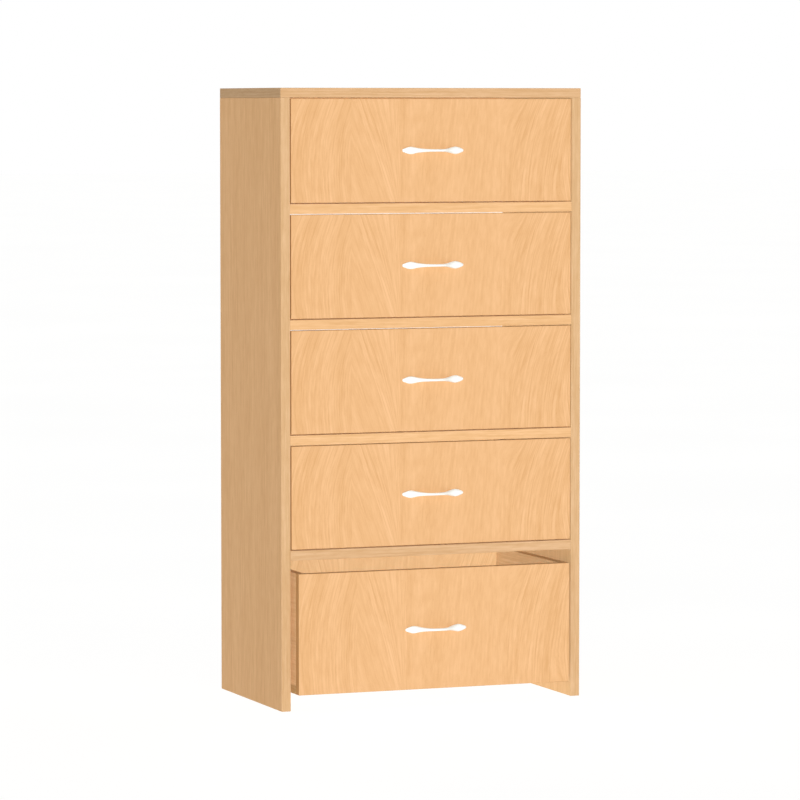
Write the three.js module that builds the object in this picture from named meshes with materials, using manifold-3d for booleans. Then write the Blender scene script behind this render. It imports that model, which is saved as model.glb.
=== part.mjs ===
// Tall chest of drawers in faced chipboard, in millimetres.
// X runs from left to right, Y from front to back and Z up. The origin is on the floor, under the
// middle of the whole object's box, with the bottom drawer standing a little open.
//
// The carcase is a top panel lying on two side panels that run down to the floor as legs, four
// divider rails, a thin back panel in rebates, a batten behind under the top and a stretcher low
// down behind. Drawers 1 to 4 have fronts inset between the rails. Drawer 5, the bottom one, is an
// open box whose own front board shows, with air above it and below it. Every drawer hangs on a
// pair of metal runners.

import * as THREE from 'three';
import { mergeVertices } from 'three/addons/utils/BufferGeometryUtils.js';
import Module from 'manifold-3d';

const wasm = await Module();
wasm.setup();

// Driving dimensions: carcase
const WIDTH = 600;
const DEPTH = 340;
const HEIGHT = 1150;
const BOARD = 18;
const RAIL_DEPTH = 80;
const OPENING_HEIGHT = 195;
const INSET_DRAWERS = 4;
const BACK_THICKNESS = 3;
const BACK_CLEARANCE = 1;
const REBATE_WIDTH = 10;
const REBATE_DEPTH = 4;
const STRETCHER_WIDTH = 80;
const STRETCHER_LIFT = 8;
const BATTEN_HEIGHT = 20;

// Driving dimensions: drawers
const DRAWER_BOARD = 16;
const BOX_WIDTH = 544;
const DRAWER_LENGTH = 332;
const FRONT_GAP = 2;
const BOX_LIFT = 10;
const BOX_HEIGHT = 160;
const BOTTOM_DRAWER_LIFT = 31;
const BOTTOM_DRAWER_HEIGHT = 225;
const BOTTOM_DRAWER_OPEN = 16;

// Driving dimensions: runners and handles
const RUNNER_LENGTH = 250;
const RUNNER_SETBACK = 46;
const RUNNER_LEVEL = 88;
const RUNNER_STEEL = 1.2;
const CABINET_RUNNER = { reach: 8, height: 27 };
const DRAWER_RUNNER = { reach: 7.8, height: 18 };
const HANDLE_LENGTH = 123;
const HANDLE_HEIGHT = 15;
const HANDLE_PROJECTION = 22;
const HANDLE_GRIP = 5.5;
const HANDLE_STEPS = 28;

// Colours and finishes
const BEECH = { color: 0xf5c18b, roughness: 0.5, metalness: 0 };
const HARDBOARD = { color: 0xa9825a, roughness: 0.8, metalness: 0 };
const ZINC = { color: 0xb9bcc0, roughness: 0.35, metalness: 1 };
const WHITE = { color: 0xfcfcf8, roughness: 0.3, metalness: 0 };

const INNER_HALF = WIDTH / 2 - BOARD;
const BOX_HALF = BOX_WIDTH / 2;
const TOP_UNDERSIDE = HEIGHT - BOARD;

function makeMesh(name, geometry, finish) {
  const mesh = new THREE.Mesh(geometry, new THREE.MeshStandardMaterial(finish));
  mesh.name = name;
  return mesh;
}

// A plain board between two limits along each axis.
function board(name, [left, right], [front, rear], [bottom, top], finish = BEECH) {
  const mesh = makeMesh(name, new THREE.BoxGeometry(right - left, rear - front, top - bottom), finish);
  mesh.position.set((left + right) / 2, (front + rear) / 2, (bottom + top) / 2);
  return mesh;
}

function shapeFrom(points) {
  return new THREE.Shape(points.map(([x, y]) => new THREE.Vector2(x, y)));
}

// A side panel is an extruded plan outline, with the back panel's rebate cut in its inner rear
// corner. side is -1 for the left panel and 1 for the right one.
function sidePanel(name, side) {
  const outer = side * WIDTH / 2;
  const inner = side * INNER_HALF;
  const seat = inner + side * REBATE_WIDTH;
  const plan = shapeFrom([
    [outer, 0],
    [inner, 0],
    [inner, DEPTH - REBATE_DEPTH],
    [seat, DEPTH - REBATE_DEPTH],
    [seat, DEPTH],
    [outer, DEPTH],
  ]);
  const geometry = new THREE.ExtrudeGeometry(plan, { depth: TOP_UNDERSIDE, bevelEnabled: false });
  return makeMesh(name, geometry, BEECH);
}

function carcasePanels() {
  const group = new THREE.Group();
  const betweenSides = [-INNER_HALF, INNER_HALF];
  const backHalf = INNER_HALF + REBATE_WIDTH - BACK_CLEARANCE;
  const backFace = DEPTH - REBATE_DEPTH;
  group.add(
    board('top_panel', [-WIDTH / 2, WIDTH / 2], [0, DEPTH], [TOP_UNDERSIDE, HEIGHT]),
    sidePanel('left_side_panel', -1),
    sidePanel('right_side_panel', 1),
    board(
      'back_panel',
      [-backHalf, backHalf],
      [backFace, backFace + BACK_THICKNESS],
      [STRETCHER_LIFT, TOP_UNDERSIDE],
      HARDBOARD,
    ),
    board(
      'rear_stretcher',
      betweenSides,
      [backFace - STRETCHER_WIDTH, backFace],
      [STRETCHER_LIFT, STRETCHER_LIFT + BOARD],
    ),
    board(
      'rear_batten',
      betweenSides,
      [backFace - BOARD, backFace],
      [TOP_UNDERSIDE - BATTEN_HEIGHT, TOP_UNDERSIDE],
    ),
  );
  for (let number = 1; number <= INSET_DRAWERS; number += 1) {
    const railTop = openingFloor(number);
    group.add(board(`divider_rail_${number}`, betweenSides, [0, RAIL_DEPTH], [railTop - BOARD, railTop]));
  }
  return group;
}

// Height of the rail that an inset drawer sits above, counted from the top of the chest.
function openingFloor(number) {
  return TOP_UNDERSIDE - number * OPENING_HEIGHT - (number - 1) * BOARD;
}

// Levels and front width of each drawer, from the top one down.
function drawerPlans() {
  const plans = [];
  for (let number = 1; number <= INSET_DRAWERS; number += 1) {
    const floor = openingFloor(number);
    plans.push({
      number,
      frontHalf: INNER_HALF - FRONT_GAP,
      front: [floor + FRONT_GAP, floor + OPENING_HEIGHT - FRONT_GAP],
      box: [floor + BOX_LIFT, floor + BOX_LIFT + BOX_HEIGHT],
      open: 0,
    });
  }
  const bottomDrawer = [BOTTOM_DRAWER_LIFT, BOTTOM_DRAWER_LIFT + BOTTOM_DRAWER_HEIGHT];
  plans.push({
    number: INSET_DRAWERS + 1,
    frontHalf: BOX_HALF,
    front: bottomDrawer,
    box: bottomDrawer,
    open: BOTTOM_DRAWER_OPEN,
  });
  return plans;
}

// One member of a runner: a C-shaped steel channel with its web on the board that carries it.
// The channel opens towards positive X when facing is 1 and towards negative X when it is -1.
function runner(name, { reach, height }, webX, facing, z) {
  const half = height / 2;
  const section = shapeFrom([
    [0, -half],
    [reach, -half],
    [reach, -half + RUNNER_STEEL],
    [RUNNER_STEEL, -half + RUNNER_STEEL],
    [RUNNER_STEEL, half - RUNNER_STEEL],
    [reach, half - RUNNER_STEEL],
    [reach, half],
    [0, half],
  ]);
  const geometry = new THREE.ExtrudeGeometry(section, { depth: RUNNER_LENGTH, bevelEnabled: false });
  geometry.translate(0, 0, -RUNNER_LENGTH / 2);
  const mesh = makeMesh(name, geometry, ZINC);
  mesh.rotation.set(Math.PI / 2, facing > 0 ? 0 : Math.PI, 0);
  mesh.position.set(webX, RUNNER_SETBACK + RUNNER_LENGTH / 2, z);
  return mesh;
}

function toSolid(geometry) {
  geometry.deleteAttribute('normal');
  geometry.deleteAttribute('uv');
  const merged = mergeVertices(geometry);
  return new wasm.Manifold(new wasm.Mesh({
    numProp: 3,
    vertProperties: new Float32Array(merged.attributes.position.array),
    triVerts: new Uint32Array(merged.index.array),
  }));
}

function toGeometry(solid) {
  const { vertProperties, triVerts } = solid.getMesh();
  const geometry = new THREE.BufferGeometry();
  geometry.setAttribute('position', new THREE.BufferAttribute(vertProperties, 3));
  geometry.setIndex(new THREE.BufferAttribute(triVerts, 1));
  geometry.computeVertexNormals();
  return geometry;
}

// Points of a smooth outline that is the same left and right, given from the left end to the middle.
function mirroredCurve(leftHalf) {
  const rightHalf = leftHalf.slice(0, -1).reverse().map(([x, y]) => [-x, y]);
  const knots = [...leftHalf, ...rightHalf].map(([x, y]) => new THREE.Vector2(x, y));
  return new THREE.SplineCurve(knots).getPoints(HANDLE_STEPS).map(({ x, y }) => [x, y]);
}

// A bow handle with leaf-shaped feet. Its side outline, seen from above, is a bow rising from two
// flat feet. Its face outline, seen from the front, is a thin grip widening to the two leaves.
function handleGeometry() {
  const end = HANDLE_LENGTH / 2;
  const half = HANDLE_HEIGHT / 2;
  const outerBow = mirroredCurve([
    [-end, -2],
    [-0.74 * end, -6],
    [-0.46 * end, -0.6 * HANDLE_PROJECTION],
    [-0.2 * end, -0.93 * HANDLE_PROJECTION],
    [0, -HANDLE_PROJECTION],
  ]);
  const gap = HANDLE_PROJECTION - HANDLE_GRIP;
  const innerBow = mirroredCurve([
    [-0.58 * end, 0],
    [-0.38 * end, -0.56 * gap],
    [-0.18 * end, -0.92 * gap],
    [0, -gap],
  ]);
  const bow = shapeFrom([[-end, 0], ...outerBow, [end, 0], ...innerBow.reverse()]);
  const upperEdge = mirroredCurve([
    [-end, 1],
    [-0.91 * end, 0.6 * half],
    [-0.74 * end, half],
    [-0.54 * end, 0.66 * half],
    [-0.32 * end, 0.41 * half],
    [0, 0.36 * half],
  ]);
  const lowerEdge = upperEdge.map(([x, z]) => [x, -z]).reverse();
  const face = shapeFrom([...upperEdge, ...lowerEdge]);

  const bowPrism = new THREE.ExtrudeGeometry(bow, { depth: HANDLE_HEIGHT + 2, bevelEnabled: false });
  bowPrism.translate(0, 0, -half - 1);
  const facePrism = new THREE.ExtrudeGeometry(face, { depth: HANDLE_PROJECTION + 2, bevelEnabled: false });
  facePrism.rotateX(Math.PI / 2);
  facePrism.translate(0, 1, 0);
  return toGeometry(toSolid(bowPrism).intersect(toSolid(facePrism)));
}

// A drawer in its closed place, with its own moving half of each runner.
function drawer({ number, frontHalf, front, box, open }, handleShape) {
  const group = new THREE.Group();
  const prefix = `drawer_${number}`;
  const [boxBottom, boxTop] = box;
  const floorTop = boxBottom + DRAWER_BOARD;
  const innerHalf = BOX_HALF - DRAWER_BOARD;
  const behindFront = [DRAWER_BOARD, DRAWER_LENGTH];
  const runnerZ = boxBottom + RUNNER_LEVEL;
  const handle = makeMesh(`${prefix}_handle`, handleShape, WHITE);
  handle.position.set(0, 0, (front[0] + front[1]) / 2);
  group.add(
    board(`${prefix}_front`, [-frontHalf, frontHalf], [0, DRAWER_BOARD], front),
    board(`${prefix}_left_side`, [-BOX_HALF, -innerHalf], behindFront, [floorTop, boxTop]),
    board(`${prefix}_right_side`, [innerHalf, BOX_HALF], behindFront, [floorTop, boxTop]),
    board(
      `${prefix}_back`,
      [-innerHalf, innerHalf],
      [DRAWER_LENGTH - DRAWER_BOARD, DRAWER_LENGTH],
      [floorTop, boxTop],
    ),
    board(`${prefix}_bottom`, [-BOX_HALF, BOX_HALF], behindFront, [boxBottom, floorTop]),
    runner(`${prefix}_left_runner`, DRAWER_RUNNER, -BOX_HALF, -1, runnerZ),
    runner(`${prefix}_right_runner`, DRAWER_RUNNER, BOX_HALF, 1, runnerZ),
    handle,
  );
  group.position.y = -open;
  return group;
}

// The two fixed halves of the runners, screwed to the side panels.
function cabinetRunners({ number, box }) {
  const group = new THREE.Group();
  const z = box[0] + RUNNER_LEVEL;
  group.add(
    runner(`cabinet_left_runner_${number}`, CABINET_RUNNER, -INNER_HALF, 1, z),
    runner(`cabinet_right_runner_${number}`, CABINET_RUNNER, INNER_HALF, -1, z),
  );
  return group;
}

const chest = new THREE.Group();
const handleShape = handleGeometry();
chest.add(carcasePanels());
for (const plan of drawerPlans()) {
  chest.add(cabinetRunners(plan), drawer(plan, handleShape));
}
chest.position.y = -(DEPTH - BOTTOM_DRAWER_OPEN - HANDLE_PROJECTION) / 2;

export default chest;
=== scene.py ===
"""Looks of the tall chest of drawers: beech-effect boards, white bow handles, runners and fasteners.

Everything is in metres in the CAD frame: +X to the right, +Y to the back, +Z up. Each board keeps its CAD
shape and gets eased edges and a facing whose grain follows that board. Handles are rebuilt smooth, and the
small ironmongery that the CAD model leaves out is added on the body that carries it.
"""
import math

import bmesh
import bpy
from mathutils import Matrix, Vector


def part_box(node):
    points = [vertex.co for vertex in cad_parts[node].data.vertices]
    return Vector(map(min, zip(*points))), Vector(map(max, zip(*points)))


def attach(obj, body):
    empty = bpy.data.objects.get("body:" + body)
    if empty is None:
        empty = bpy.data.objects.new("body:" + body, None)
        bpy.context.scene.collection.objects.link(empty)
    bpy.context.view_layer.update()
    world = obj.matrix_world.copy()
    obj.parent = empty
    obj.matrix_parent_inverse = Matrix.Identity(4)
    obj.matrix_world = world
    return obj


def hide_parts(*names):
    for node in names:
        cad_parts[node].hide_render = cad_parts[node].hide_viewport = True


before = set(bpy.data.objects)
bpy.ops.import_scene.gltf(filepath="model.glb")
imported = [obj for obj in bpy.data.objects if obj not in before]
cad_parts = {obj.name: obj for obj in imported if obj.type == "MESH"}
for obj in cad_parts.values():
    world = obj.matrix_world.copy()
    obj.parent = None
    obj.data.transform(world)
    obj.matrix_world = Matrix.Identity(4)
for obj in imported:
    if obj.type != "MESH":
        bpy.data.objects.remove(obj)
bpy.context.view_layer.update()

X, Y, Z = 0, 1, 2
MM = 0.001
DRAWERS = range(1, 6)
RAILS = range(1, 5)
# The two sides of the chest, each with the direction along X that leads inwards from it.
SIDES = (("left", 1), ("right", -1))

# Beech-effect facing, as linear colours.
FACING_DARK = (0.547, 0.305, 0.134)
FACING_MID = (0.604, 0.351, 0.168)
FACING_LIGHT = (0.661, 0.397, 0.206)
# Tones that multiply it. Faces: of most boards, and of the side panels.
PLAIN_FACE = (1.0, 1.0, 1.0)
SIDE_FACE = (0.99, 0.985, 0.925)
# Bands along the grain: of upright carcase boards, of the top and the lowest rail, and of the other rails.
CARCASE_EDGE = (0.866, 0.932, 1.0)
LEVEL_EDGE = (0.892, 0.952, 1.045)
RAIL_EDGE = (1.02, 1.045, 1.05)
# Bands across the grain on carcase boards, and every band on a drawer's boards. The drawer's tone is painted
# shade: it darkens the drawer edges seen in the gaps round the fronts, and the drawers' top edges.
CARCASE_END = (0.73, 0.79, 0.84)
DRAWER_EDGE_PAINTED_SHADE = (0.74, 0.70, 0.60)

# Other finishes, as linear colours.
CHIP_COLOURS = ((0.0, (0.30, 0.19, 0.10)), (0.45, (0.50, 0.34, 0.19)), (1.0, (0.66, 0.50, 0.31)))
HARDBOARD_DARK = (0.29, 0.165, 0.080)
HARDBOARD_LIGHT = (0.35, 0.208, 0.106)
BACK_WHITE = (0.86, 0.84, 0.78)
ZINC_DARK = (0.50, 0.51, 0.53)
ZINC_LIGHT = (0.68, 0.69, 0.70)
HANDLE_SHADE = (0.77, 0.785, 0.75)
HANDLE_WHITE = (0.79, 0.805, 0.77)

# Rounding of edges, and the thickness of the band that shows round each face.
BOARD_EASE = 0.7 * MM
HARDBOARD_EASE = 0.3 * MM
STEEL_EASE = 0.25 * MM
BAND_THICKNESS = 0.5 * MM
# A face counts as square to an axis where its normal has at least this share along it.
SQUARE_ON = 0.75

STEEL_GAUGE = 1.2 * MM


# ---------------------------------------------------------------- node graphs

class Graph:
    """Builds a node tree. Inputs may be sockets or plain values."""

    def __init__(self, tree):
        self.tree = tree

    def node(self, kind, **settings):
        made = self.tree.nodes.new(kind)
        for key, value in settings.items():
            setattr(made, key, value)
        return made

    def feed(self, socket, value):
        if isinstance(value, bpy.types.NodeSocket):
            self.tree.links.new(value, socket)
        else:
            socket.default_value = value

    def math(self, operation, *values):
        made = self.node("ShaderNodeMath", operation=operation)
        for socket, value in zip(made.inputs, values):
            self.feed(socket, value)
        return made.outputs[0]

    def add(self, first, second):
        return self.math("ADD", first, second)

    def subtract(self, first, second):
        return self.math("SUBTRACT", first, second)

    def multiply(self, first, second):
        return self.math("MULTIPLY", first, second)

    def weighted_sum(self, terms, start):
        """start plus each (value, weight) of terms multiplied together."""
        total = start
        for value, weight in terms:
            total = self.math("MULTIPLY_ADD", value, weight, total)
        return total

    def combine(self, x, y, z):
        made = self.node("ShaderNodeCombineXYZ")
        for socket, value in zip(made.inputs, (x, y, z)):
            self.feed(socket, value)
        return made.outputs[0]

    def separate(self, vector):
        made = self.node("ShaderNodeSeparateXYZ")
        self.feed(made.inputs[0], vector)
        return made.outputs

    def coordinates(self, kind):
        return self.node("ShaderNodeTexCoord").outputs[kind]

    def noise(self, vector, detail):
        made = self.node("ShaderNodeTexNoise")
        self.feed(made.inputs["Vector"], vector)
        made.inputs["Scale"].default_value = 1.0
        made.inputs["Detail"].default_value = detail
        return made.outputs["Fac"]

    def smooth_step(self, value, start, end):
        """0 up to start and 1 from end, or the other way round where end comes first."""
        made = self.node("ShaderNodeMapRange", interpolation_type="SMOOTHSTEP")
        self.feed(made.inputs["Value"], value)
        self.feed(made.inputs["From Min"], start)
        self.feed(made.inputs["From Max"], end)
        return made.outputs["Result"]

    def ramp(self, value, stops):
        made = self.node("ShaderNodeValToRGB")
        elements = made.color_ramp.elements
        while len(elements) < len(stops):
            elements.new(0.5)
        for element, (position, colour) in zip(elements, stops):
            element.position = position
            element.color = (*colour, 1.0)
        self.feed(made.inputs[0], value)
        return made.outputs["Color"]

    def mix(self, factor, first, second):
        """Between two numbers."""
        made = self.node("ShaderNodeMix", data_type="FLOAT")
        for index, value in ((0, factor), (2, first), (3, second)):
            self.feed(made.inputs[index], value)
        return made.outputs[0]

    def blend(self, factor, first, second, mode="MIX"):
        """Between two colours."""
        made = self.node("ShaderNodeMix", data_type="RGBA", blend_type=mode)
        for index, value in ((0, factor), (6, first), (7, second)):
            if isinstance(value, tuple):
                value = (*value, 1.0)
            self.feed(made.inputs[index], value)
        return made.outputs[2]

    def bump(self, height, strength, distance):
        made = self.node("ShaderNodeBump")
        made.inputs["Strength"].default_value = strength
        made.inputs["Distance"].default_value = distance
        self.feed(made.inputs["Height"], height)
        return made.outputs["Normal"]


def new_material(name):
    """A material with its graph and its Principled shader."""
    material = bpy.data.materials.new(name)
    material.use_nodes = True
    return material, Graph(material.node_tree), material.node_tree.nodes["Principled BSDF"]


def new_group(name, inputs, outputs):
    """A node group with its graph, the sockets given to it and the sockets it returns.

    Inputs are numbers, and outputs maps each label to its kind of socket.
    """
    tree = bpy.data.node_groups.new(name, "ShaderNodeTree")
    for label in inputs:
        tree.interface.new_socket(label, in_out="INPUT", socket_type="NodeSocketFloat")
    for label, kind in outputs.items():
        tree.interface.new_socket(label, in_out="OUTPUT", socket_type=kind)
    graph = Graph(tree)
    return tree, graph, graph.node("NodeGroupInput").outputs, graph.node("NodeGroupOutput").inputs


def use_group(graph, tree, **values):
    made = graph.node("ShaderNodeGroup", node_tree=tree)
    for key, value in values.items():
        graph.feed(made.inputs[key], value)
    return made.outputs


# ---------------------------------------------------------------- wood patterns

# Layers of the printed grain: features per metre across and along it, shift of the seed, and noise detail.
GRAIN_LAYERS = {
    "drift": (9.0, 7.0, 21.0, 1.0),
    "ripple": (30.0, 62.0, 25.0, 1.0),
    "bands": (22.0, 1.4, 0.0, 1.0),
    "streaks": (132.0, 4.0, 3.1, 1.0),
    "lines": (400.0, 9.0, 7.7, 1.0),
    "mottle": (190.0, 38.0, 9.3, 2.0),
    "fibres": (1100.0, 45.0, 12.3, 1.0),
    "flecks": (1700.0, 190.0, 17.9, 0.0),
}
# How far the slow drift and the ripple push the lines sideways.
DRIFT_SWAY = 5.0 * MM
RIPPLE_SWAY = 2.6 * MM
# Shade is the mean plus each layer times its weight. Lines and streaks are also times the given strength.
MEAN_SHADE = 0.52
LINES_WEIGHT = 1.5
STREAKS_WEIGHT = 0.45
MOTTLE_WEIGHT = 0.9
BANDS_WEIGHT = 0.55
FIBRES_WEIGHT = 0.40
FLECKS_WEIGHT = -0.22
# Noise between these levels grows into a fleck.
FLECK_RISE = (0.17, 0.25)


def grain_group():
    """Printed beech grain. Across and Along are in metres, Lines is how strongly the fine lines show.

    Shade is about 0 in a dark streak and 1 in a light one.
    """
    tree, graph, given, result = new_group(
        "beech_grain", ("Across", "Along", "Seed", "Lines"),
        {"Shade": "NodeSocketFloat", "Relief": "NodeSocketFloat"})

    def layer(name, source):
        across_scale, along_scale, shift, detail = GRAIN_LAYERS[name]
        point = graph.combine(
            graph.multiply(source, across_scale),
            graph.multiply(given["Along"], along_scale),
            graph.add(given["Seed"], shift))
        return graph.subtract(graph.noise(point, detail=detail), 0.5)

    across = given["Across"]
    wavy = graph.weighted_sum(
        ((layer("ripple", across), RIPPLE_SWAY), (layer("drift", across), DRIFT_SWAY)), start=across)
    streaks, lines, fibres = (layer(name, wavy) for name in ("streaks", "lines", "fibres"))
    bands, mottle = (layer(name, across) for name in ("bands", "mottle"))
    flecks = graph.smooth_step(layer("flecks", across), *FLECK_RISE)
    lined = graph.weighted_sum(((lines, LINES_WEIGHT), (streaks, STREAKS_WEIGHT)), start=0.0)
    shade = graph.weighted_sum(
        ((lined, given["Lines"]), (mottle, MOTTLE_WEIGHT), (bands, BANDS_WEIGHT), (fibres, FIBRES_WEIGHT),
         (flecks, FLECKS_WEIGHT)),
        start=MEAN_SHADE)
    graph.feed(result["Shade"], shade)
    graph.feed(result["Relief"], graph.subtract(graph.add(lines, fibres), flecks))
    return tree


# Figure of a drawer front. Places are shares of the board's width from its left edge, and of its height.
# Broad tones across it: place and lightness.
BOARD_TONES = (
    (0.0, 0.50), (0.03, 0.30), (0.06, 0.52), (0.115, 0.60), (0.165, 0.42), (0.21, 0.42), (0.24, 0.50),
    (0.31, 0.60), (0.40, 0.48), (0.43, 0.58), (0.50, 0.44), (0.57, 0.58), (0.63, 0.46), (0.73, 0.58),
    (0.76, 0.42), (0.82, 0.52), (0.87, 0.56), (0.92, 0.36), (0.955, 0.44), (1.0, 0.56))
SEAM = 0.212
# The bow is furthest left at this height. The fan runs from the seam to its edge, and gets wider upwards.
BOW_LEVEL = 0.3
FAN_EDGE = 0.39
FAN_FOOT_WIDTH = 0.025
FAN_SPREAD = 0.10
# Where the sway sets in and fades out, and where the lean and the bend at the right edge set in.
SWAY_IN = (0.42, 0.50)
SWAY_OUT = (0.74, 0.66)
LEAN_IN = (0.70, 0.84)
EDGE_IN = (0.93, 0.985)
# How far each bend moves the lines sideways, as a share of the board's width.
BOW_REACH = -0.095
FAN_REACH = -0.120
SWAY_REACH = -0.035
LEAN_REACH = -0.074
EDGE_REACH = -0.035
# Strength of the fine lines where the figure is calm and where it is lively. It is lively to this extent
# left of the seam, in the fan between these places, and past these at the right edge.
CALM_LINES = 0.30
LIVELY_LINES = 1.15
LEFT_LIVELINESS = 0.7
FAN_LINES_IN = (0.20, 0.23)
FAN_LINES_OUT = (0.43, 0.37)
RIGHT_LINES_IN = (0.74, 0.80)


def figure_group():
    """Beech figure of a drawer front. Side and Height run from 0 to 1 over the board.

    Foot tells grain lines apart: it is the same all along one line. At the far left the lines bow, right of
    the printed seam they fan out from the top, and near the right edge they lean over as they rise. Plank is
    0 left of the seam and 1 right of it.
    """
    labels = ("Foot", "Tone", "Lines", "Plank")
    tree, graph, given, result = new_group(
        "beech_figure", ("Side", "Height"), {label: "NodeSocketFloat" for label in labels})
    side, height = given["Side"], given["Height"]

    def squared_from(level):
        offset = graph.subtract(height, level)
        return graph.multiply(offset, offset)

    plank = graph.math("GREATER_THAN", side, SEAM)
    left_of_seam = graph.subtract(1.0, plank)
    fan_width = graph.math("MULTIPLY_ADD", height, FAN_SPREAD, FAN_FOOT_WIDTH)
    to_fan_edge = graph.math("DIVIDE", graph.subtract(FAN_EDGE, side), fan_width)
    in_fan = graph.multiply(plank, graph.smooth_step(to_fan_edge, 0.0, 1.0))
    in_sway = graph.multiply(graph.smooth_step(side, *SWAY_IN), graph.smooth_step(side, *SWAY_OUT))
    bends = (
        (graph.multiply(left_of_seam, squared_from(BOW_LEVEL)), BOW_REACH),
        (graph.multiply(in_fan, graph.subtract(1.0, height)), FAN_REACH),
        (graph.multiply(in_sway, height), SWAY_REACH),
        (graph.multiply(graph.smooth_step(side, *LEAN_IN), squared_from(0.0)), LEAN_REACH),
        (graph.multiply(graph.smooth_step(side, *EDGE_IN), squared_from(1.0)), EDGE_REACH))
    foot = graph.weighted_sum(bends, start=side)
    graph.feed(result["Foot"], foot)
    graph.feed(result["Plank"], plank)
    stops = [(place, (tone,) * 3) for place, tone in BOARD_TONES]
    graph.feed(result["Tone"], graph.separate(graph.ramp(foot, stops))[0])

    past_seam = graph.multiply(plank, graph.smooth_step(foot, *FAN_LINES_IN))
    fan_lines = graph.multiply(past_seam, graph.smooth_step(foot, *FAN_LINES_OUT))
    left_lines = graph.multiply(left_of_seam, LEFT_LIVELINESS)
    right_lines = graph.smooth_step(foot, *RIGHT_LINES_IN)
    strongest = graph.math("MAXIMUM", graph.math("MAXIMUM", fan_lines, left_lines), right_lines)
    graph.feed(result["Lines"], graph.mix(strongest, CALM_LINES, LIVELY_LINES))
    return tree


def chipboard_group():
    """Pressed chips on a sawn edge. Across and Along are in metres."""
    chips_across, chips_along = 900.0, 330.0
    tree, graph, given, result = new_group(
        "chipboard", ("Across", "Along", "Seed"), {"Color": "NodeSocketColor", "Relief": "NodeSocketFloat"})
    point = graph.combine(
        graph.multiply(given["Across"], chips_across),
        graph.multiply(given["Along"], chips_along),
        given["Seed"])
    chips = graph.node("ShaderNodeTexVoronoi")
    graph.feed(chips.inputs["Vector"], point)
    chips.inputs["Scale"].default_value = 1.0
    tint = graph.separate(chips.outputs["Color"])[0]
    shade = graph.weighted_sum(((tint, 0.6), (graph.noise(point, detail=3.0), 0.5)), start=0.0)
    graph.feed(result["Color"], graph.ramp(shade, CHIP_COLOURS))
    graph.feed(result["Relief"], graph.subtract(tint, chips.outputs["Distance"]))
    return tree


GRAIN = grain_group()
FIGURE = figure_group()
CHIPBOARD = chipboard_group()


# ---------------------------------------------------------------- board material

# Shifts of the print's seed on the plank right of the seam and on the edge bands, so that they differ.
PLANK_SEED = 6.4
EDGE_SEED = 2.7
# A facing that is banded all round: roughness in its darkest streaks, and the change towards the lightest.
DARK_ROUGHNESS = 0.60
ROUGHNESS_CHANGE = -0.10
# A board with sawn edges: roughness of its facing and of those edges, and how far their chips stand out.
FACED_ROUGHNESS = 0.46
RAW_ROUGHNESS = 0.85
RAW_RELIEF = 4.0


def squarely_along(graph, normal, axis):
    """1 where the surface faces along the axis, either way."""
    return graph.math("GREATER_THAN", graph.math("ABSOLUTE", normal[axis]), SQUARE_ON)


def beside_edge(graph, place, axis, size):
    """1 in the strip of a face where the band on its edge shows."""
    return graph.math("GREATER_THAN", graph.math("ABSOLUTE", place[axis]), size[axis] / 2 - BAND_THICKNESS)


def figured_print(graph, side, height, width, on_edge, seed):
    """Place across the print, its seed, strength of lines and shift of tone, all following the figure."""
    figure = use_group(graph, FIGURE, Side=side, Height=height)
    across = graph.multiply(figure["Foot"], width)
    seed_of_print = graph.math("MULTIPLY_ADD", figure["Plank"], PLANK_SEED, seed)
    lines = graph.mix(on_edge, figure["Lines"], 1.0)
    shift = graph.mix(on_edge, graph.subtract(figure["Tone"], 0.5), 0.0)
    return across, seed_of_print, lines, shift


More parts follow.
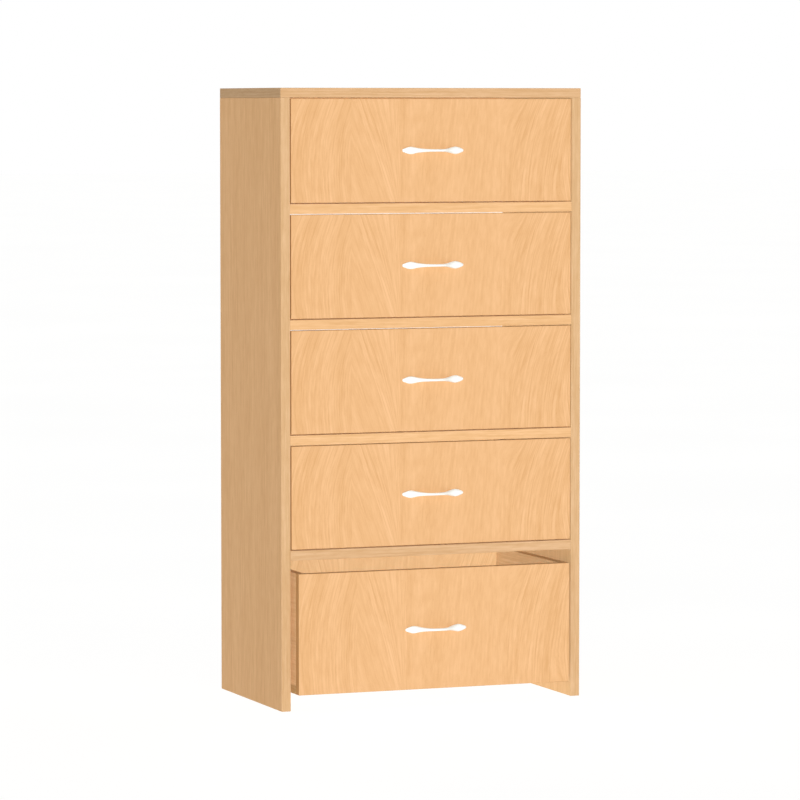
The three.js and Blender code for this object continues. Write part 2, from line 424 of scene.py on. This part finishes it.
def board_material(node, grain, edge_tone, end_tone, seed, face_tone, figured, raw):
    """Beech facing for one CAD board.

    grain is the axis that the grain follows, and raw lists the unbanded edges as (axis, sign).
    """
    low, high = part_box(node)
    size = high - low
    centre = (low + high) / 2
    through = min(range(3), key=lambda axis: size[axis])
    across = 3 - through - grain
    material, graph, shader = new_material("facing_" + node)
    position = graph.separate(graph.coordinates("Object"))
    normal = graph.separate(graph.coordinates("Normal"))
    place = [graph.subtract(position[axis], centre[axis]) for axis in range(3)]
    on_end = squarely_along(graph, normal, grain)
    on_edge = graph.math("MAXIMUM", squarely_along(graph, normal, across), on_end)

    print_across, print_seed, lines, shift = place[across], seed, 1.0, 0.0
    if figured:
        side, height = (
            graph.add(graph.math("DIVIDE", place[axis], size[axis]), 0.5) for axis in (across, grain))
        print_across, print_seed, lines, shift = figured_print(
            graph, side, height, size[across], on_edge, seed)
    print_along = graph.mix(on_end, place[grain], place[across])
    printed = use_group(
        graph, GRAIN, Across=graph.mix(on_edge, print_across, place[through]), Along=print_along,
        Seed=graph.math("MULTIPLY_ADD", on_edge, EDGE_SEED, print_seed), Lines=lines)
    shade = graph.add(printed["Shade"], shift)
    facing = graph.ramp(shade, ((0.0, FACING_DARK), (0.5, FACING_MID), (1.0, FACING_LIGHT)))

    beside = [beside_edge(graph, place, axis, size) for axis in (across, grain)]
    banded = graph.math("MAXIMUM", on_edge, graph.math("MAXIMUM", *beside))
    tone = graph.blend(banded, face_tone, graph.blend(on_end, edge_tone, end_tone))
    colour = graph.blend(1.0, facing, tone, "MULTIPLY")
    relief = printed["Relief"]
    if raw:
        chips = use_group(graph, CHIPBOARD, Across=place[through], Along=print_along, Seed=seed)
        bare = 0.0
        for axis, sign in raw:
            faced = graph.math("GREATER_THAN", graph.multiply(normal[axis], sign), SQUARE_ON)
            bare = graph.math("MAXIMUM", bare, faced)
        colour = graph.blend(bare, colour, chips["Color"])
        relief = graph.mix(bare, relief, graph.multiply(chips["Relief"], RAW_RELIEF))
        roughness = graph.mix(bare, FACED_ROUGHNESS, RAW_ROUGHNESS)
    else:
        roughness = graph.math("MULTIPLY_ADD", shade, ROUGHNESS_CHANGE, DARK_ROUGHNESS)
    graph.feed(shader.inputs["Base Color"], colour)
    graph.feed(shader.inputs["Roughness"], roughness)
    graph.feed(shader.inputs["Normal"], graph.bump(relief, strength=0.35, distance=0.06 * MM))
    shader.inputs["Specular IOR Level"].default_value = 0.05
    return material


def dress(node, material, ease):
    """Gives a CAD node a material and softly rounded edges.

    The rounding is done by modifiers, so that the node's own mesh stays as it is.
    """
    cad_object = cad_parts[node]
    cad_object.data.materials.clear()
    cad_object.data.materials.append(material)
    weld = cad_object.modifiers.new("weld", "WELD")
    weld.merge_threshold = 0.01 * MM
    bevel = cad_object.modifiers.new("eased_edges", "BEVEL")
    bevel.width = ease
    bevel.segments = 2
    bevel.limit_method = "ANGLE"
    bevel.angle_limit = math.radians(40)
    bevel.harden_normals = True


def finish_board(
        node, grain, edge_tone=CARCASE_EDGE, end_tone=CARCASE_END, seed=0.0, face_tone=PLAIN_FACE,
        figured=False, raw=()):
    material = board_material(node, grain, edge_tone, end_tone, seed, face_tone, figured, raw)
    dress(node, material, BOARD_EASE)


def finish_carcase():
    front, rear, underneath = (Y, -1), (Y, 1), (Z, -1)
    finish_board("top_panel", X, LEVEL_EDGE, seed=31.0, raw=(rear,))
    finish_board("left_side_panel", Z, seed=42.0, face_tone=SIDE_FACE, raw=(rear, underneath))
    finish_board("right_side_panel", Z, seed=57.0, face_tone=SIDE_FACE, raw=(rear, underneath))
    finish_board("rear_stretcher", X, seed=63.0, raw=(front, rear))
    finish_board("rear_batten", X, seed=66.0, raw=(rear, underneath))
    for rail in RAILS:
        edge = LEVEL_EDGE if rail == RAILS[-1] else RAIL_EDGE
        finish_board(f"divider_rail_{rail}", X, edge, edge, seed=70.0 + 5.3 * rail, raw=(rear,))


def finish_drawer(number):
    prefix = f"drawer_{number}"
    # Every edge band of a drawer's boards, and the thin strip of face beside it, is darkened with painted
    # shade.
    edges = (DRAWER_EDGE_PAINTED_SHADE, DRAWER_EDGE_PAINTED_SHADE)
    rear = (Y, 1)
    for board in ("front", "back"):
        finish_board(f"{prefix}_{board}", Z, *edges, seed=4.0, figured=True)
    for board, grain, seed in (("left_side", Y, 100.0), ("right_side", Y, 104.0), ("bottom", X, 108.0)):
        finish_board(f"{prefix}_{board}", grain, *edges, seed=seed + 9.0 * number, raw=(rear,))


# ---------------------------------------------------------------- other materials

def hardboard_material():
    """Brown pressed fibre behind, white facing inside."""
    fibres_per_metre, clouds_per_metre = 900.0, 14.0
    material, graph, shader = new_material("hardboard")
    x, _, z = graph.separate(graph.coordinates("Object"))
    normal = graph.separate(graph.coordinates("Normal"))

    def pattern(scale, seed, detail):
        point = graph.combine(graph.multiply(x, scale), seed, graph.multiply(z, scale))
        return graph.noise(point, detail=detail)

    fine = pattern(fibres_per_metre, seed=0.0, detail=4.0)
    cloudy = pattern(clouds_per_metre, seed=3.0, detail=5.0)
    shade = graph.weighted_sum(((fine, 0.6), (cloudy, 0.4)), start=0.0)
    brown = graph.ramp(shade, ((0.3, HARDBOARD_DARK), (0.7, HARDBOARD_LIGHT)))
    inside = graph.math("LESS_THAN", normal[Y], -0.5)
    graph.feed(shader.inputs["Base Color"], graph.blend(inside, brown, BACK_WHITE))
    graph.feed(shader.inputs["Roughness"], graph.mix(inside, 0.78, 0.45))
    graph.feed(shader.inputs["Normal"], graph.bump(fine, strength=0.4, distance=0.08 * MM))
    return material


def steel_material():
    """Bright zinc plate with fine drawing marks along the runner."""
    material, graph, shader = new_material("zinc_steel")
    x, y, z = graph.separate(graph.coordinates("Object"))

    def pattern(scales, detail):
        scaled = [graph.multiply(value, scale) for value, scale in zip((x, y, z), scales)]
        return graph.noise(graph.combine(*scaled), detail=detail)

    marks = pattern((1400.0, 14.0, 1400.0), detail=2.0)
    cloudy = pattern((1.0, 30.0, 60.0), detail=3.0)
    graph.feed(shader.inputs["Base Color"], graph.ramp(cloudy, ((0.3, ZINC_DARK), (0.7, ZINC_LIGHT))))
    graph.feed(shader.inputs["Roughness"], graph.math("MULTIPLY_ADD", marks, 0.25, 0.22))
    graph.feed(shader.inputs["Normal"], graph.bump(marks, strength=0.15, distance=0.02 * MM))
    shader.inputs["Metallic"].default_value = 1.0
    return material


def lacquer_material():
    """White satin lacquer with a faint orange peel."""
    peel_per_metre = 420.0
    material, graph, shader = new_material("white_lacquer")
    scaled = graph.node("ShaderNodeVectorMath", operation="SCALE")
    graph.feed(scaled.inputs[0], graph.coordinates("Object"))
    scaled.inputs["Scale"].default_value = peel_per_metre
    peel = graph.noise(scaled.outputs[0], detail=2.0)
    graph.feed(shader.inputs["Base Color"], graph.ramp(peel, ((0.2, HANDLE_SHADE), (0.8, HANDLE_WHITE))))
    graph.feed(shader.inputs["Roughness"], graph.math("MULTIPLY_ADD", peel, 0.10, 0.24))
    graph.feed(shader.inputs["Normal"], graph.bump(peel, strength=0.12, distance=0.03 * MM))
    return material


# ---------------------------------------------------------------- handles

# Half of the handle, in millimetres from its middle: half height, front surface and back surface.
LEAF_HALF_HEIGHT = (
    (0, 2.4), (12, 2.55), (21, 3.05), (31, 4.5), (38, 6.1), (44, 7.0), (50, 6.25), (56, 4.15), (59.7, 2.55),
    (60.8, 1.5))
BOW_FRONT = (
    (0, 21.9), (12, 20.6), (20, 17.7), (28, 12.6), (36, 8.6), (44, 6.4), (52, 5.0), (58.5, 3.4), (60.8, 2.2))
BOW_BACK = ((0, 16.6), (11, 15.5), (18, 12.4), (24.5, 7.4), (30, 2.9), (35, 0.4), (38, 0.0), (60.8, 0.0))
HANDLE_RINGS = 72
RING_POINTS = 20
# The section's widest level between its back and its front, and how full it is on either side of that.
RIM_SHARE = 0.28
FRONT_FULLNESS = 0.85
BACK_FULLNESS = 0.4


def through_knots(knots, x):
    """Height at x of a smooth curve through (x, y) knots, symmetrical about x = 0."""
    x = abs(x)
    points = [(-knots[1][0], knots[1][1])] + list(knots)
    points.append((2 * knots[-1][0] - knots[-2][0], 2 * knots[-1][1] - knots[-2][1]))
    index = 1
    while index < len(points) - 3 and x > points[index + 1][0]:
        index += 1
    (x0, y0), (x1, y1), (x2, y2), (x3, y3) = points[index - 1:index + 3]
    span = x2 - x1
    t = min(max((x - x1) / span, 0.0), 1.0)
    slope1 = (y2 - y0) / (x2 - x0) * span
    slope2 = (y3 - y1) / (x3 - x1) * span
    return ((2 * t ** 3 - 3 * t ** 2 + 1) * y1 + (t ** 3 - 2 * t ** 2 + t) * slope1
            + (-2 * t ** 3 + 3 * t ** 2) * y2 + (t ** 3 - t ** 2) * slope2)


def bridge(work, first, second):
    """A band of faces between two closed rings of vertices."""
    for index in range(len(first)):
        following = (index + 1) % len(first)
        work.faces.new((first[index], first[following], second[following], second[index]))


def loft(work, rings):
    """A closed skin over rings of vertices, with a flat face on the first ring and on the last."""
    for first, second in zip(rings, rings[1:]):
        bridge(work, first, second)
    work.faces.new(rings[0])
    work.faces.new(list(reversed(rings[-1])))


def to_mesh(name, work, material, sharp_angle):
    """Ends the work as a mesh, smooth except where its faces meet at sharp_angle degrees or more."""
    bmesh.ops.recalc_face_normals(work, faces=work.faces)
    for face in work.faces:
        face.smooth = True
    for edge in work.edges:
        edge.smooth = edge.calc_face_angle(0.0) < math.radians(sharp_angle)
    mesh = bpy.data.meshes.new(name)
    work.to_mesh(mesh)
    work.free()
    mesh.materials.append(material)
    return mesh


def handle_mesh(material):
    """A bow handle at the origin, lofted ring by ring from one pointed foot to the other."""
    work = bmesh.new()
    end = LEAF_HALF_HEIGHT[-1][0]
    rings = []
    for step in range(HANDLE_RINGS + 1):
        x = -end * math.cos(math.pi * step / HANDLE_RINGS)
        half = through_knots(LEAF_HALF_HEIGHT, x)
        front = through_knots(BOW_FRONT, x)
        back = max(through_knots(BOW_BACK, x), 0.0)
        rim = back + RIM_SHARE * (front - back)
        ring = []
        for corner in range(RING_POINTS):
            angle = 2 * math.pi * corner / RING_POINTS
            lean = math.cos(angle)
            if lean > 0:
                depth = rim + (front - rim) * lean ** FRONT_FULLNESS
            else:
                depth = rim - (rim - back) * abs(lean) ** BACK_FULLNESS
            ring.append(work.verts.new((x * MM, -depth * MM, half * math.sin(angle) * MM)))
        rings.append(ring)
    loft(work, rings)
    return to_mesh("bow_handle", work, material, sharp_angle=180.0)


def add_piece(name, mesh, body, location=(0.0, 0.0, 0.0)):
    """A new piece of the object, riding on a CAD body."""
    piece = bpy.data.objects.new(name, mesh)
    bpy.context.scene.collection.objects.link(piece)
    piece.location = location
    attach(piece, body)
    return piece


def add_handles(material):
    mesh = handle_mesh(material)
    for number in DRAWERS:
        low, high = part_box(f"drawer_{number}_handle")
        middle = ((low.x + high.x) / 2, high.y, (low.z + high.z) / 2)
        handle = add_piece(f"bow_handle_{number}", mesh, f"drawer_{number}", middle)
        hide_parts(f"drawer_{number}_handle")


# ---------------------------------------------------------------- ironmongery

# Turned heads: radius and height along the profile in millimetres, and whether there is a cross recess.
PAN_HEAD = (((4.0, 0.0), (4.0, 0.9), (3.5, 1.7), (2.7, 2.1)), True)
FLAT_HEAD = (((3.1, 0.0), (3.1, 0.5), (2.6, 0.7)), True)
CAM_HEAD = (((7.4, 0.0), (7.4, 0.2), (7.0, 0.35)), True)
NAIL_HEAD = (((2.6, 0.0), (2.6, 0.25), (1.9, 0.55), (0.9, 0.7)), False)
RECESS_DEPTH = 0.6
RECESS_FLOOR = 0.05
# Arms of the recess, as shares of the radius at the top: their reach and half of their width.
RECESS_REACH = 0.78
RECESS_HALF_WIDTH = 0.2
SHARP_ANGLE = 35.0

# Where they sit.
HANDLE_SCREW_REACH = 48 * MM
CAM_SETBACK = 34 * MM
DRAWER_CAM_FROM_FOOT = 45 * MM
DRAWER_CAM_FROM_TOP = 40 * MM
PANEL_CAM_FROM_FRONT = 50 * MM
PANEL_CAM_FROM_REAR = 60 * MM
DRAWER_RUNNER_SCREWS = (34 * MM, 124 * MM, 216 * MM)
CABINET_RUNNER_SCREWS = (92 * MM, 224 * MM)
NAIL_SPACES_UP = 9
NAIL_SPACES_ACROSS = 5
NAIL_INSET = 5 * MM
NAIL_ABOVE_FOOT = 9 * MM
NAIL_BELOW_TOP = 10 * MM

# Ball cages, measured from the web of the cabinet's channel.
BALLS_IN_ROW = 7
BALL_RADIUS = 1.6 * MM
BALL_PITCH = 8 * MM
FIRST_BALL = 5 * MM
BALL_STAND = 3.6 * MM
CAGE_SHEET = 0.4 * MM
CAGE_CLEARANCE = 0.25 * MM
CAGE_HALF_HEIGHT = 10.65 * MM
CAGE_LIP = 5.2 * MM
CAGE_START = 4 * MM
CAGE_END = 62 * MM


def inner_face(low, high, inward):
    """X of the face that looks into the chest."""
    return high.x if inward > 0 else low.x


def outer_face(low, high, inward):
    """X of the face that looks out of the chest."""
    return low.x if inward > 0 else high.x


def plus_outline(arm, half_width):
    """Corners of a plus sign, in order round it."""
    corners = []
    for turn in range(4):
        angle = turn * math.pi / 2
        for x, y in ((arm, -half_width), (arm, half_width), (half_width, half_width)):
            corners.append(
                (x * math.cos(angle) - y * math.sin(angle), x * math.sin(angle) + y * math.cos(angle)))
    return corners


def add_head(work, kind, place, outward):
    """A turned head standing on place and pointing outward."""
    profile, crossed = kind
    turn = outward.to_track_quat("Z", "Y").to_matrix().to_4x4()
    to_world = Matrix.Translation(place) @ turn @ Matrix.Scale(MM, 4)
    rim, top = profile[-1]
    outline = plus_outline(rim * RECESS_REACH, rim * RECESS_HALF_WIDTH)
    angles = [math.atan2(y, x) for x, y in outline]
    rings = []
    for radius, height in profile:
        rings.append([(radius * math.cos(angle), radius * math.sin(angle), height) for angle in angles])
    if crossed:
        for height in (top, max(top - RECESS_DEPTH, RECESS_FLOOR)):
            rings.append([(x, y, height) for x, y in outline])
    loft(work, [[work.verts.new(to_world @ Vector(corner)) for corner in ring] for ring in rings])


def add_heads(name, heads, material, body):
    """One piece from many heads, each given as (kind, place, outward)."""
    work = bmesh.new()
    for head in heads:
        add_head(work, *head)
    add_piece(name, to_mesh(name, work, material, SHARP_ANGLE), body)


def handle_screws(number):
    low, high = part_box(f"drawer_{number}_front")
    middle = (low + high) / 2
    return [
        (PAN_HEAD, Vector((middle.x + reach, high.y, middle.z)), Vector((0, 1, 0)))
        for reach in (-HANDLE_SCREW_REACH, HANDLE_SCREW_REACH)]


def drawer_cams(number):
    """Cam locks inside the drawer that draw the sides to the front."""
    found = []
    behind_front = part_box(f"drawer_{number}_front")[1].y + CAM_SETBACK
    for name, inward in SIDES:
        low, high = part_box(f"drawer_{number}_{name}_side")
        face = inner_face(low, high, inward)
        for level in (low.z + DRAWER_CAM_FROM_FOOT, high.z - DRAWER_CAM_FROM_TOP):
            found.append((CAM_HEAD, Vector((face, behind_front, level)), Vector((inward, 0, 0))))
    return found


def drawer_runner_screws(number):
    found = []
    for name, inward in SIDES:
        low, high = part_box(f"drawer_{number}_{name}_runner")
        web = inner_face(low, high, inward) - inward * STEEL_GAUGE
        for along in DRAWER_RUNNER_SCREWS:
            place = Vector((web, low.y + along, (low.z + high.z) / 2))
            found.append((FLAT_HEAD, place, Vector((-inward, 0, 0))))
    return found


def carcase_cams():
    """Cam locks that hold the top, the rails and the stretcher to the sides."""
    found = []
    top_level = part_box("top_panel")[0].z - CAM_SETBACK
    for name, inward in SIDES:
        low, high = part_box(f"{name}_side_panel")
        face = inner_face(low, high, inward)
        for depth in (low.y + PANEL_CAM_FROM_FRONT, high.y - PANEL_CAM_FROM_REAR):
            found.append((CAM_HEAD, Vector((face, depth, top_level)), Vector((inward, 0, 0))))
        for rail in RAILS:
            low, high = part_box(f"divider_rail_{rail}")
            across = outer_face(low, high, inward) + inward * CAM_SETBACK
            found.append((CAM_HEAD, Vector((across, (low.y + high.y) / 2, low.z)), Vector((0, 0, -1))))
        low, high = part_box("rear_stretcher")
        across = outer_face(low, high, inward) + inward * CAM_SETBACK
        found.append((CAM_HEAD, Vector((across, (low.y + high.y) / 2, high.z)), Vector((0, 0, 1))))
    return found


def cabinet_runner_webs():
    """Each channel on the carcase: web's inner surface, front end, middle level and inward direction."""
    for number in DRAWERS:
        for name, inward in SIDES:
            low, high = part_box(f"cabinet_{name}_runner_{number}")
            web = outer_face(low, high, inward) + inward * STEEL_GAUGE
            yield web, low.y, (low.z + high.z) / 2, inward


def cabinet_runner_screws():
    return [
        (FLAT_HEAD, Vector((web, front + along, level)), Vector((inward, 0, 0)))
        for web, front, level, inward in cabinet_runner_webs() for along in CABINET_RUNNER_SCREWS]


def back_nails():
    """Nails round the back panel, into the rebates, the batten and the stretcher."""
    low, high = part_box("back_panel")
    foot, top = low.z + 2 * NAIL_INSET, high.z - 2 * NAIL_INSET
    places = []
    for row in range(NAIL_SPACES_UP + 1):
        level = foot + (top - foot) * row / NAIL_SPACES_UP
        places += [(low.x + NAIL_INSET, level), (high.x - NAIL_INSET, level)]
    for column in range(1, NAIL_SPACES_ACROSS):
        across = low.x + (high.x - low.x) * column / NAIL_SPACES_ACROSS
        places += [(across, low.z + NAIL_ABOVE_FOOT), (across, high.z - NAIL_BELOW_TOP)]
    return [(NAIL_HEAD, Vector((x, high.y, z)), Vector((0, 1, 0))) for x, z in places]


def add_sheet(work, corner, opposite):
    """A thin flat plate between two corners, its edges along the axes."""
    size = [abs(far - near) for near, far in zip(corner, opposite)]
    place = Matrix.Translation((corner + opposite) / 2) @ Matrix.Diagonal((*size, 1.0))
    bmesh.ops.create_cube(work, size=1.0, matrix=place)


def ball_cages(material):
    """In each pair of runner channels, two rows of balls held by a bent strip."""
    work = bmesh.new()
    for web, front, middle, inward in cabinet_runner_webs():
        start, end = front + CAGE_START, front + CAGE_END
        strip_near, strip_far, lip_far = (
            web + inward * reach for reach in (CAGE_CLEARANCE, CAGE_CLEARANCE + CAGE_SHEET, CAGE_LIP))
        add_sheet(
            work, Vector((strip_near, start, middle - CAGE_HALF_HEIGHT)),
            Vector((strip_far, end, middle + CAGE_HALF_HEIGHT)))
        for level in (middle - CAGE_HALF_HEIGHT, middle + CAGE_HALF_HEIGHT):
            add_sheet(
                work, Vector((strip_near, start, level - CAGE_SHEET / 2)),
                Vector((lip_far, end, level + CAGE_SHEET / 2)))
            for ball in range(BALLS_IN_ROW):
                centre = Vector((web + inward * BALL_STAND, start + FIRST_BALL + BALL_PITCH * ball, level))
                bmesh.ops.create_icosphere(
                    work, subdivisions=3, radius=BALL_RADIUS, matrix=Matrix.Translation(centre))
    return to_mesh("ball_cages", work, material, SHARP_ANGLE)


def add_ironmongery(steel):
    for number in DRAWERS:
        heads = handle_screws(number) + drawer_cams(number) + drawer_runner_screws(number)
        add_heads(f"drawer_{number}_fixings", heads, steel, f"drawer_{number}")
    add_heads("carcase_fixings", carcase_cams() + cabinet_runner_screws(), steel, "carcase")
    add_heads("back_nails", back_nails(), steel, "carcase")
    add_piece("runner_ball_cages", ball_cages(steel), "carcase")


# ---------------------------------------------------------------- stage

FLOOR_REACH = 60.0
FLOOR_DARK = (0.22, 0.22, 0.22)
FLOOR_LIGHT = (0.24, 0.24, 0.24)
FLOOR_GLOW = (1.0, 1.0, 0.995, 1.0)
FLOOR_GLOW_STRENGTH = 0.86
# Brightness of the studio walls by how far up they are, from the horizon to straight overhead.
STUDIO_WALLS = ((0.0, 1.0), (0.05, 1.0), (0.15, 0.08), (1.0, 0.2))
SUN_WIDTH = 30.0

# Lights that reach everything: name, azimuth, elevation and strength.
FILLS = (
    ("front_fill", -22.6, 15.0, 3.1),
    ("rear_fill", 125.0, 30.0, 1.1))
# Fills that reach only some boards: name, azimuth, elevation, strength, colour and the boards' nodes.
INSIDE_FILLS = (
    ("drawer_fill", -40.0, 10.0, 1.75, (0.42, 1.0, 1.3),
     [f"drawer_{number}_{board}" for number in DRAWERS for board in ("back", "right_side", "bottom")]),
    ("flank_fill", -90.0, 0.0, 1.08, (0.56, 1.0, 1.24),
     [f"drawer_{number}_left_side" for number in DRAWERS]),
    ("cabinet_fill", -90.0, 0.0, 1.36, (0.62, 1.0, 1.26), ["right_side_panel"]))

# The camera stands this far from the middle of the top panel, and turns are in degrees.
CAMERA_DISTANCE = 8.053
CAMERA_HEIGHT = 1.117
CAMERA_AZIMUTH = -21.424
CAMERA_HEADING = 21.434
CAMERA_PITCH = 3.963
CAMERA_LENS = 191.1


def add_floor():
    """A white floor that glows a little, so that it runs into the white horizon."""
    mesh = bpy.data.meshes.new("floor")
    corners = [(x * FLOOR_REACH, y * FLOOR_REACH, 0) for x, y in ((-1, -1), (1, -1), (1, 1), (-1, 1))]
    mesh.from_pydata(corners, [], [(0, 1, 2, 3)])
    floor = bpy.data.objects.new("floor", mesh)
    bpy.context.scene.collection.objects.link(floor)
    material, graph, shader = new_material("pale_floor")
    grit = graph.noise(graph.coordinates("Object"), detail=2.0)
    graph.feed(shader.inputs["Base Color"], graph.ramp(grit, ((0.3, FLOOR_DARK), (0.7, FLOOR_LIGHT))))
    shader.inputs["Roughness"].default_value = 0.9
    shader.inputs["Specular IOR Level"].default_value = 0.0
    shader.inputs["Emission Color"].default_value = FLOOR_GLOW
    shader.inputs["Emission Strength"].default_value = FLOOR_GLOW_STRENGTH
    mesh.materials.append(material)


def light_world():
    """A studio all round: white at the horizon, nearly dark just above it, and dim overhead."""
    world = bpy.data.worlds.new("studio")
    bpy.context.scene.world = world
    world.use_nodes = True
    graph = Graph(world.node_tree)
    rise = graph.separate(graph.coordinates("Generated"))[Z]
    walls = graph.ramp(rise, [(place, (brightness,) * 3) for place, brightness in STUDIO_WALLS])
    graph.feed(world.node_tree.nodes["Background"].inputs["Color"], walls)


def add_sun(name, azimuth, elevation, strength):
    """A broad fill without shadows. Azimuth 0 shines from the front and 90 from the right."""
    lamp = bpy.data.lights.new(name, "SUN")
    lamp.energy = strength
    lamp.angle = math.radians(SUN_WIDTH)
    lamp.use_shadow = False
    sun = bpy.data.objects.new(name, lamp)
    bpy.context.scene.collection.objects.link(sun)
    turn, rise = math.radians(azimuth), math.radians(elevation)
    towards = Vector((math.sin(turn) * math.cos(rise), -math.cos(turn) * math.cos(rise), math.sin(rise)))
    sun.rotation_mode = "QUATERNION"
    sun.rotation_quaternion = towards.to_track_quat("Z", "Y")
    return sun


def add_inside_fills():
    """Cool fills for inner boards, where little of the other light gets in."""
    for name, azimuth, elevation, strength, colour, boards in INSIDE_FILLS:
        sun = add_sun(name, azimuth, elevation, strength)
        sun.data.color = colour
        lit_boards = bpy.data.collections.new(name)
        for board in boards:
            lit_boards.objects.link(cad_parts[board])
        sun.light_linking.receiver_collection = lit_boards


def add_camera():
    """At about the level of the chest's top, a little to its left, looking slightly down."""
    low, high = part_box("top_panel")
    axis = (low + high) / 2
    turn, heading, pitch = (math.radians(angle) for angle in (CAMERA_AZIMUTH, CAMERA_HEADING, CAMERA_PITCH))
    data = bpy.data.cameras.new("camera")
    data.lens = CAMERA_LENS
    data.sensor_width = 36.0
    data.clip_end = 200.0
    camera = bpy.data.objects.new("camera", data)
    bpy.context.scene.collection.objects.link(camera)
    camera.location = (
        axis.x + CAMERA_DISTANCE * math.sin(turn), axis.y - CAMERA_DISTANCE * math.cos(turn), CAMERA_HEIGHT)
    looking = Vector(
        (math.sin(heading) * math.cos(pitch), math.cos(heading) * math.cos(pitch), -math.sin(pitch)))
    camera.rotation_mode = "QUATERNION"
    camera.rotation_quaternion = looking.to_track_quat("-Z", "Y")
    bpy.context.scene.camera = camera


def set_look():
    view = bpy.context.scene.view_settings
    view.view_transform = "Standard"
    view.look = "None"
    view.exposure = 0.0


# ---------------------------------------------------------------- the chest

add_camera()
add_floor()
light_world()
for fill in FILLS:
    add_sun(*fill)
set_look()

finish_carcase()
for drawer in DRAWERS:
    finish_drawer(drawer)
dress("back_panel", hardboard_material(), HARDBOARD_EASE)
STEEL = steel_material()
for cad_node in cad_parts:
    if "runner" in cad_node:
        dress(cad_node, STEEL, STEEL_EASE)
add_handles(lacquer_material())
add_ironmongery(STEEL)
add_inside_fills()
